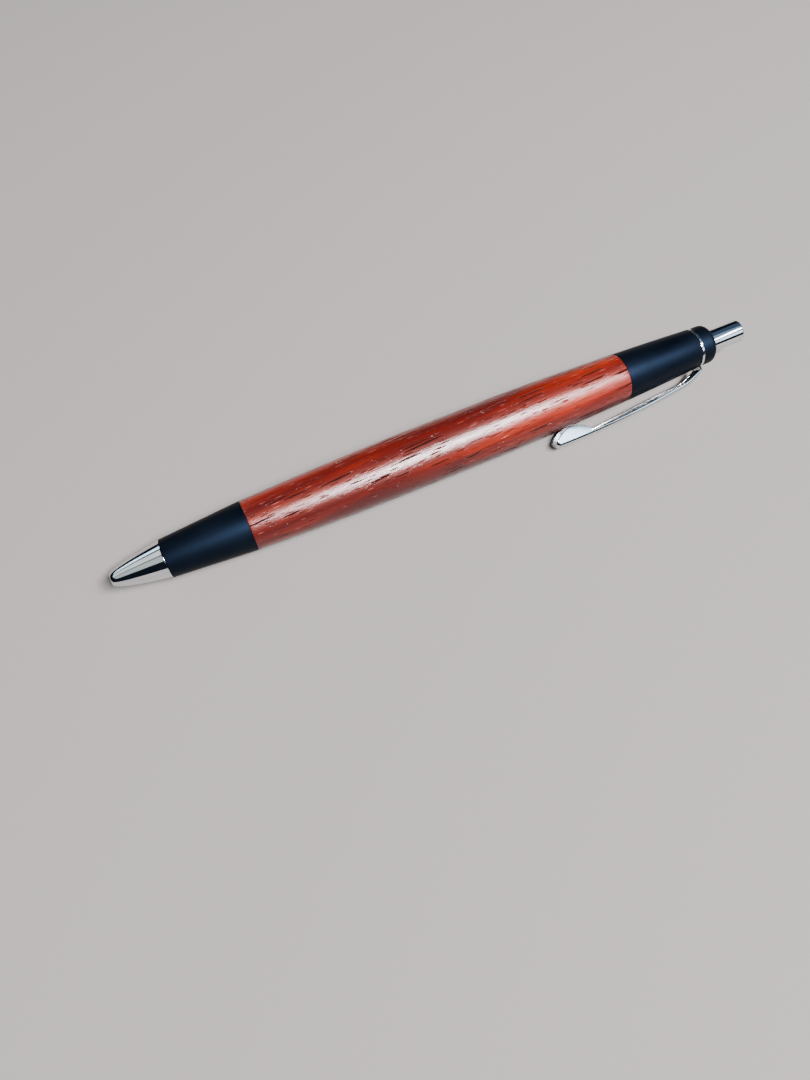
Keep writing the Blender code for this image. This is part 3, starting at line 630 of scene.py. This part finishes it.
# %% The clip's plane and its line
hinge = next(j for j in frame["joints"] if j["name"] == "clip_flex")
HINGE = Vector(hinge["pos_m"])
CLIP_OUT = Vector((0, HINGE.y - AXIS.y, HINGE.z - AXIS.z)).normalized()
CLIP_SIDE = Vector((1, 0, 0)).cross(CLIP_OUT)
ring_front, ring_rear, _ = span("clip_ring")
PAD_TIP = span("clip_arm")[0]
SHEET, HALF_WIDTH = 0.45, 1.7
FOLD, BREAK, CURL = 0.9, 0.08, 0.85  # outer radii: of the folds, of the broken edges, of the pad's tip
PAD_STATION, PAD_REACH, ARM_BOW = 93.5, 8.84, 0.00237  # where the arm is furthest out, how far, and its bow
ELBOW, ROOT_CORNER = 121.6, 5.02  # station of the neck's upper bend, and reach of the lower one
EAR_PEAK, EAR_HEIGHT, EAR_END = 93.6, 3.36, 97.5
print("clip: %.1f mm long, out along" % (ring_rear - PAD_TIP), [round(value, 3) for value in CLIP_OUT])


def arm_reach(station):
    """The arm's outer line: a shallow parabola, furthest out at the pad."""
    return PAD_REACH - ARM_BOW * (station - PAD_STATION) ** 2


def clip_line():
    """(reach, station) from inside the ring, out, round the bend, down the neck and along the arm to the
    pad's tip."""
    corners = [(3.9, ring_rear - 0.02), (ROOT_CORNER, ring_rear - 0.02)]
    corners += [(arm_reach(ELBOW), ELBOW), (arm_reach(116.0), 116.0)]
    bends = soften(corners, [0, 0.7, 1.15, 0], closed=False, steps=10)
    step = EAR_END + np.array([0.24, 0.16, 0.1, 0.04])
    arm = np.concatenate([np.linspace(115.0, EAR_END + 0.35, 34), step])
    pad = PAD_TIP + (EAR_END - 0.05 - PAD_TIP) * np.linspace(1, 0, 44) ** 1.25
    stations = np.concatenate([arm, pad])
    return np.vstack([bends[:-1], np.stack([arm_reach(stations), stations], axis=1)])


def flange_depth(station):
    """How deep the folded sides are: a parabola along the arm, falling off down the neck, and most at the
    ears, whose outline is a parabola behind their peak and close to a quarter ellipse ahead of it."""
    share = np.clip((station - EAR_END) / (ELBOW - EAR_END), 0, 1)
    neck = np.clip((station - ELBOW) / (ring_rear - ELBOW), 0, 1)
    arm = 1.0 + 0.45 * 4 * share * (1 - share) - 0.42 * neck
    behind = EAR_HEIGHT - 0.11 * (station - EAR_PEAK) ** 2
    share = np.clip((EAR_PEAK - station) / (EAR_PEAK - PAD_TIP), 0, 1)
    ahead = 0.85 + (EAR_HEIGHT - 0.85) * (1 - share**2) ** 0.75
    ear = np.where(station > EAR_PEAK, behind, ahead)
    return np.where(station > EAR_END, arm, ear)


# %% The clip's section, carried along its line
def clip_points():
    """Each row is the U-section: down one side's outer face, across the fold, and back along the inner
    faces. At the pad's tip its outer face curls in by c - sqrt(c^2 - d^2), where d is how far past the
    curl's start a row lies."""
    line = clip_line()
    along = np.gradient(line, axis=0)
    along /= np.linalg.norm(along, axis=1)[:, None]
    inward = np.stack([along[:, 1], -along[:, 0]], axis=1)
    station = line[:, 1]
    past = np.clip(PAD_TIP + CURL - station, 0, CURL * 0.985)
    top = CURL - np.sqrt(CURL**2 - past**2)
    lip = np.maximum(flange_depth(station), top + SHEET + 0.15)
    narrower = 0.08 * np.clip((station - 119) / 4, 0, 1)
    half = HALF_WIDTH - 0.35 * (1 - np.sqrt(1 - (past / CURL) ** 2)) - narrower
    fold = np.minimum(FOLD, lip - top - BREAK - 0.01)
    inner = np.maximum(fold - SHEET, 0.04)
    hollow = np.clip((station - PAD_TIP - SHEET) / 0.06, 0, 1)[:, None]
    a = np.linspace(0, np.pi / 2, 7)[None]
    column = (slice(None), None)
    outer_side = half[column] - fold[column] * (1 - np.cos(a))
    outer_deep = top[column] + fold[column] * (1 - np.sin(a))
    inner_side = half[column] - SHEET - inner[column] * (1 - np.cos(a))
    inner_deep = top[column] + SHEET + inner[column] * (1 - np.sin(a))
    floor = lip[column] - BREAK - 0.01
    inner_deep = floor + (np.minimum(inner_deep, floor) - floor) * hollow
    edge = np.array([[SHEET, BREAK], [SHEET - BREAK, 0.0], [BREAK, 0.0], [0.0, BREAK]])
    lip_side, lip_deep = half[column] - edge[None, :, 0], lip[column] - edge[None, :, 1]
    side = np.concatenate([inner_side[:, ::-1], lip_side, outer_side], axis=1)
    deep = np.concatenate([inner_deep[:, ::-1], lip_deep, outer_deep], axis=1)
    side, deep = np.concatenate([side, -side[:, ::-1]], axis=1), np.concatenate([deep, deep[:, ::-1]], axis=1)
    flat = line[:, None, :] + inward[:, None, :] * deep[..., None]
    points = np.outer(flat[..., 0].ravel(), CLIP_OUT) + np.outer(side.ravel(), CLIP_SIDE)
    points[:, 0] += flat[..., 1].ravel()
    return points.reshape(*side.shape, 3) * MM + np.array([TIP_X, AXIS.y, AXIS.z])


# %% Close the arm's ends, and join it to the ring
def make_clip_arm():
    """The loft, with its ends closed: a band down each side from its inner to its outer line, and a web
    between."""
    points = clip_points()
    rows, columns = points.shape[:2]
    k, half = np.arange(columns // 4 - 1), columns // 2 - 1
    band = np.stack([k, k + 1, half - 1 - k, half - k], axis=1)
    web = np.array([[0, half, half + 1, columns - 1]])
    cap = np.vstack([band, (columns - 1 - band)[:, ::-1], web])
    last = cap[:, ::-1] + (rows - 1) * columns
    return make_piece("clip_arm_loft", points, np.vstack([grid_quads(rows, columns, False, True), cap, last]))


def outward(piece):
    """Turns a closed shape's faces to point out of it."""
    shape = bmesh.new()
    shape.from_mesh(piece.data)
    bmesh.ops.recalc_face_normals(shape, faces=shape.faces)
    open_edges = sum(not edge.is_manifold for edge in shape.edges)
    print(piece.name, "volume %.2f cubic mm, open edges %d" % (shape.calc_volume() / MM**3, open_edges))
    shape.to_mesh(piece.data)
    shape.free()
    return piece


def joined(name, piece, other):
    """The union of two closed pieces as one new mesh."""
    union = piece.modifiers.new("union", "BOOLEAN")
    union.operation, union.solver, union.object = "UNION", "EXACT", other
    bpy.context.view_layer.update()
    result = piece.evaluated_get(bpy.context.evaluated_depsgraph_get())
    mesh = bpy.data.meshes.new_from_object(result)
    mesh.name = name
    mesh.shade_smooth()
    mesh.set_sharp_from_angle(angle=SHARP)
    made = bpy.data.objects.new(name, mesh)
    bpy.context.scene.collection.objects.link(made)
    for used in (piece, other):
        bpy.data.objects.remove(used)
    return made


def make_clip():
    """The turned washer and the arm, united into one piece."""
    washer = soften([(ring_front, 3.42), (ring_front, 4.24), (ring_rear, 4.24), (ring_rear, 3.42)], 0.06)
    ring = outward(turned("clip_washer", washer, 144))
    return joined("bright_clip", ring, outward(make_clip_arm()))


clip = finish_piece(make_clip(), None, CLIP_CHROME, "chrome_plating", "clip_ring", "clip_arm")
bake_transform(clip)

# %% [markdown]
# ## Inside the pen
# The wooden sleeve is glued to a brass tube, and a brass bush at each of its ends is pressed in. The bushes
# hold the black pieces, so that no load goes through the wood. They are turned shapes with square corners,
# and a file has broken each edge.

# %% Brass tube and bushes
liner_front, liner_rear, liner_radius = span("inner_liner")
FIT = 3.55


def tube(name, outline, body, material, slot, node, radius=0.05):
    """A turned piece with a bore: its outline of (station, radius) is closed."""
    return finish_piece(turned(name, soften(outline, radius), 96), body, material, slot, node)


tube(
    "brass_liner",
    [(liner_front, 3.6), (liner_front, liner_radius), (liner_rear, liner_radius), (liner_rear, 3.6)],
    "barrel", BRASS, "brass", "inner_liner",
)
front_bush = [(20.0, 2.65), (20.0, 3.3), (26.5, 3.3), (26.5, FIT), (33.0, FIT), (33.0, 2.65)]
tube("brass_front_bush", front_bush, "barrel", BRASS, "brass", "front_bush")
rear_bush = [(100.6, 2.9), (100.6, FIT), (107.4, FIT), (107.4, 3.95), (112.5, 3.95), (112.5, GUIDE_HOLE)]
rear_bush += [(108.3, GUIDE_HOLE), (108.3, 2.9)]
tube("brass_rear_bush", rear_bush, "barrel", BRASS, "brass", "rear_bush")

# %% [markdown]
# ## The refill
# The refill is a clear tube of ink, with grease behind the ink that follows it and keeps it in. A moulded
# holder carries the steel point, and a carbide ball turns in the point's seat. Seen with the nose off, it is
# a row of turned shapes again, so each is an outline with its true lengths. Those without a bore start and
# end on the axis.

# %% Refill
point_front, point_rear, _ = span("writing_point")
holder_front, holder_rear, _ = span("point_holder")
tube_front, tube_rear, tube_radius = span("refill_tube")
ball_front, ball_rear, ball_radius = span("writing_ball")
BALL = (ball_front + ball_rear) / 2
point = [(point_front, 0.346), (point_front, 0.43), (4.2, 0.66), (9.4, 0.66), (9.6, 1.15), (point_rear, 1.15)]
point += [(point_rear, 0.15), (BALL + 0.4, 0.15), (BALL + 0.4, 0.38), (BALL - 0.02, 0.38)]
tube("steel_point", point, "refill", POINT_STEEL, "stainless_steel", "writing_point", 0.04)
holder = [(holder_front, 1.2), (holder_front, 1.35), (holder_front + 0.3, 1.6), (24.0, 1.6), (24.0, 2.2)]
holder += [(26.5, 2.2), (26.5, 1.55), (holder_rear, 1.55), (holder_rear, 0.5)]
holder += [(point_rear + 0.1, 0.5), (point_rear + 0.1, 1.2)]
tube("white_point_holder", holder, "refill", WHITE, "white_polypropylene", "point_holder", 0.08)
wall = [(tube_front, 1.6), (tube_front, tube_radius), (tube_rear, tube_radius), (tube_rear, 1.6)]
tube("clear_refill_tube", wall, "refill", CLEAR, "clear_polypropylene", "refill_tube")
plug_front, plug_rear, plug_radius = span("refill_end_plug")
plug = [(plug_front, 0.4), (plug_front, 1.45), (tube_rear + 0.05, 1.55), (tube_rear + 0.05, plug_radius)]
plug += [(plug_rear, plug_radius), (plug_rear, 0.4)]
tube("white_end_plug", plug, "refill", WHITE, "white_polypropylene", "refill_end_plug", 0.12)


def solid(name, outline, body, material, slot, node, radius=0.05):
    """A turned piece without a bore: its outline starts and ends on the axis."""
    profile = soften(outline, radius, closed=False)
    return finish_piece(turned(name, profile, 96, closed=False), body, material, slot, node)


ink_front, ink_rear, ink_radius = span("refill_ink")
ink = [(ink_front, 0.0), (ink_front, ink_radius), (ink_rear, ink_radius), (ink_rear, 0.0)]
solid("ink_column", ink, "refill", INK, "black_ink", "refill_ink")
grease_front, grease_rear, grease_radius = span("ink_follower")
grease = [(grease_front, 0.0), (grease_front, grease_radius), (grease_rear, grease_radius)]
grease += [(grease_rear - 0.8, 0.0)]
solid("grease_follower", grease, "refill", GREASE, "clear_grease", "ink_follower", 0.3)
angle = np.linspace(0, np.pi, 33)
sphere = np.stack([BALL - ball_radius * np.cos(angle), ball_radius * np.sin(angle)], axis=1)
ball = turned("carbide_ball", sphere, 48, closed=False)
finish_piece(ball, "ball", CARBIDE, "tungsten_carbide", "writing_ball")

# %% [markdown]
# ## The return spring
# The spring is coiled from drawn wire, with a closed coil at each end, so that it stands square and pushes
# the refill back. It is a circle carried along a helix whose pitch changes.

# %% Return spring
spring_front, spring_rear, _ = span("return_spring")
WIRE = 0.18
COIL_RADIUS = 1.95
OPEN_TURNS, CLOSED_TURNS = 10.0, 1.25
CLOSED_PITCH = 2 * WIRE + 0.12


def make_spring():
    """The wire's middle is at turn n: angle 2 pi n, and a station that climbs at the closed pitch over the
    first and last turns and at an even open pitch between them. A circle stands square to that line at each
    point."""
    total = OPEN_TURNS + 2 * CLOSED_TURNS
    turn = np.linspace(0, total, 720)
    first = np.minimum(turn, CLOSED_TURNS)
    last = np.maximum(0, turn - CLOSED_TURNS - OPEN_TURNS)
    start, end = spring_front + WIRE, spring_rear - WIRE
    open_pitch = (end - start - 2 * CLOSED_TURNS * CLOSED_PITCH) / OPEN_TURNS
    station = start + (first + last) * CLOSED_PITCH + (turn - first - last) * open_pitch
    a = 2 * np.pi * turn
    out = np.stack([np.zeros_like(a), np.sin(-a), np.cos(a)], axis=1)
    line = np.stack([station, COIL_RADIUS * out[:, 1], COIL_RADIUS * out[:, 2]], axis=1)
    along = np.gradient(line, axis=0)
    along /= np.linalg.norm(along, axis=1)[:, None]
    across = np.cross(along, out)
    b = np.arange(16) * 2 * np.pi / 16
    ring = out[:, None] * np.cos(b)[None, :, None] + across[:, None] * np.sin(b)[None, :, None]
    radius = np.full(len(turn) + 2, WIRE)
    radius[[0, -1]] = 0
    line, ring = line[[0, *range(len(turn)), -1]], ring[[0, *range(len(turn)), -1]]
    points = (line[:, None] + ring * radius[:, None, None]) * MM + np.array([TIP_X, AXIS.y, AXIS.z])
    return outward(make_piece("return_spring_wire", points, grid_quads(len(radius), 16, False, True)))


spring = finish_piece(make_spring(), "barrel", STEEL, "stainless_steel", "return_spring")
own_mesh(spring)

# %% [markdown]
# ## The click mechanism
# The guide, the thrust cam and the rotor are closed in by the rear shell. Their solids have the real teeth,
# fins and ribs already, so they keep their meshes and only get the finish of moulded acetal.

# %% Finish of the cams
for node in ("cam_guide", "thrust_cam", "rotor_cam"):
    frame["nodes"][node].data.materials.clear()
    frame["nodes"][node].data.materials.append(ACETAL)
print("moulded: guide, thrust cam and rotor")

# %% [markdown]
# ## Camera
# The pen is looked at from above and a little from its clip's side, close by and with a wide lens, so that
# it shrinks towards its button.

# %% Camera
CAMERA_STATION, CAMERA_DISTANCE, CAMERA_ELEVATION = 23.0, 159.2, math.radians(60.98)
CAMERA_PITCH, CAMERA_HEADING = math.radians(63.81), math.radians(24.97)
camera_data = bpy.data.cameras.new("camera")
camera_data.sensor_width = 36.0
camera_data.lens = 27.75
camera_data.clip_start = 0.01
camera = bpy.data.objects.new("camera", camera_data)
towards = (0, -math.cos(CAMERA_ELEVATION), math.sin(CAMERA_ELEVATION))
camera.location = spot(CAMERA_STATION, CAMERA_DISTANCE, towards)
camera.rotation_euler = (math.pi / 2 - CAMERA_PITCH, 0, -CAMERA_HEADING)
bpy.context.scene.collection.objects.link(camera)
bpy.context.scene.camera = camera
print("camera at", [round(value, 3) for value in camera.location])

# %% [markdown]
# ## Floor and light
# The pen lies on a plain pale floor. The key light is a strip high on the clip's side, along the pen. Its
# middle part is the strong one: it draws the white line along the lacquer, and weaker parts carry the line
# on to both ends. Chrome shows the room, so each thing that it mirrors is a panel of its own: a far window
# and two ceiling panels for the nose's upper half, a near window for the arm of the clip and a small light
# for its ears, and a window and a wall on the right for the button. The room around them is dim, because
# chrome needs something dark to show its shape.

# %% Floor, and one light
FLOOR_SIDE = 3.0


def make_floor():
    """A square of matt pale laminate under the pen, with its middle at the origin."""
    mesh = bpy.data.meshes.new("floor")
    h = FLOOR_SIDE / 2
    mesh.from_pydata([(-h, -h, 0), (h, -h, 0), (h, h, 0), (-h, h, 0)], [], [(0, 1, 2, 3)])
    floor = bpy.data.objects.new("floor", mesh)
    bpy.context.scene.collection.objects.link(floor)
    material, _, shader = new_material("pale_floor", Roughness=0.85, Specular_IOR_Level=0.2)
    shader.inputs["Base Color"].default_value = linear("#6b6863")
    mesh.materials.append(material)
    floor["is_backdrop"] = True


def soft_box(name, place, size, power, colour, flat=False):
    """An area light at a place in metres, facing the middle of the pen, or straight down if it is flat."""
    data = bpy.data.lights.new(name, "AREA")
    data.shape, data.size, data.size_y = "RECTANGLE", size[0], size[1]
    data.energy, data.color = power, linear(colour)[:3]
    light = bpy.data.objects.new(name, data)
    light.location = place
    if not flat:
        light.rotation_euler = (Vector((0, 0, 0)) - Vector(place)).to_track_quat("-Z", "Y").to_euler()
    bpy.context.scene.collection.objects.link(light)


make_floor()

# %% All lights
soft_box("key", (0.26, -0.46, 0.88), (0.50, 0.20), 66.0, "#fbf7ff")
soft_box("key_rear", (0.76, -0.44, 0.88), (0.42, 0.14), 3.0, "#f2f4ff")
soft_box("key_front", (-0.20, -0.44, 0.88), (0.30, 0.20), 0.5, "#eef4ff")
soft_box("far_window", (-0.74, 1.34, 0.88), (1.0, 0.9), 8.0, "#cfe9fb", flat=True)
soft_box("ceiling_far", (-0.78, 0.34, 0.90), (0.9, 0.60), 2.2, "#e9f2f4", flat=True)
soft_box("ceiling_near", (-0.78, -0.38, 0.90), (0.9, 0.66), 1.5, "#e9f2f4", flat=True)
soft_box("near_window", (1.05, -1.12, 0.80), (0.55, 0.50), 2.4, "#d8eeff")
soft_box("ear_light", (0.41, -0.79, 0.88), (0.29, 0.30), 1.5, "#cdeaff")
soft_box("right_window", (0.78, -0.08, 0.88), (0.40, 0.50), 0.4, "#b4d8f0")
soft_box("right_wall", (0.85, 0.45, 0.88), (0.6, 0.6), 0.22, "#8cb0e0")
world = bpy.data.worlds.new("dim_room")
world.use_nodes = True
world.node_tree.nodes["Background"].inputs["Color"].default_value = linear("#121a23")
world.node_tree.nodes["Background"].inputs["Strength"].default_value = 1.0
bpy.context.scene.world = world

# %% [markdown]
# ## How much the pen grew
# The new surfaces should keep the pen's size, so the box around all that is shown is set against the frame's
# box, and how much it grew is printed in millimetres.

# %% Print how much the box grew
shown_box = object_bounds()
pairs = zip([*cad_box[0], *cad_box[1]], [*shown_box[0], *shown_box[1]])
print("grown by mm:", [round((shown - cad) / MM, 3) for cad, shown in pairs])
